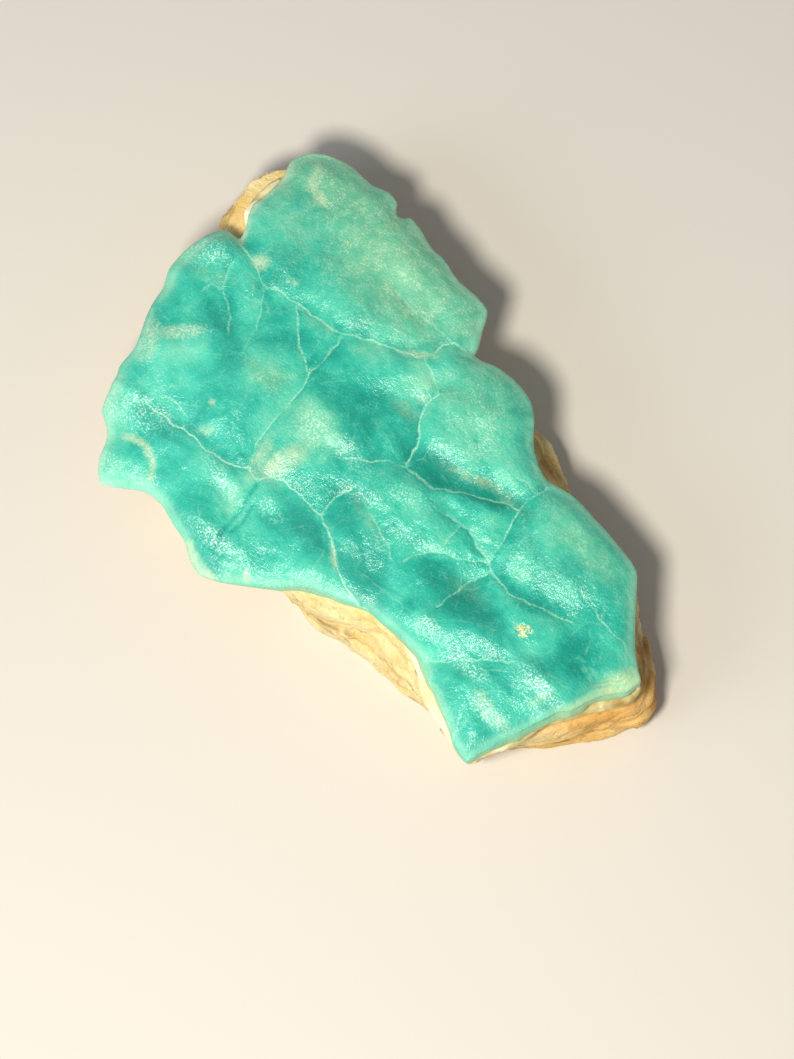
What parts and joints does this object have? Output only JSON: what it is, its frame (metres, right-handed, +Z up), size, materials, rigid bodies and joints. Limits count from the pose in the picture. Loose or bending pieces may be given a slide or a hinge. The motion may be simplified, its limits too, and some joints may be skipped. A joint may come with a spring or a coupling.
{
  "type": "aragonite specimen on matrix",
  "caption": "Wavy blue-green aragonite crust on a thin cream layer and a tan bedded rock block that rests flat.",
  "frame": {"origin": "centre of the bounding box at the foot plane on which the specimen rests", "axes": "+Z up out of the crust, +X along the long side towards the narrower end, +Y towards the edge where the crust is thickest and palest"},
  "size_m": [0.1356, 0.0844, 0.0286],
  "materials": {
    "aragonite": "waxy translucent blue-green aragonite with pale healed seams and a fine sparkle",
    "selvage": "dull cream aragonite band, fibrous and chalky",
    "matrix_rock": "dry tan to ochre bedded rock with fine cracks, broken edges"
  },
  "bodies": {
    "root": {"aragonite_crust": "aragonite", "cream_selvage": "selvage", "matrix": "matrix_rock"}
  },
  "joints": []
}
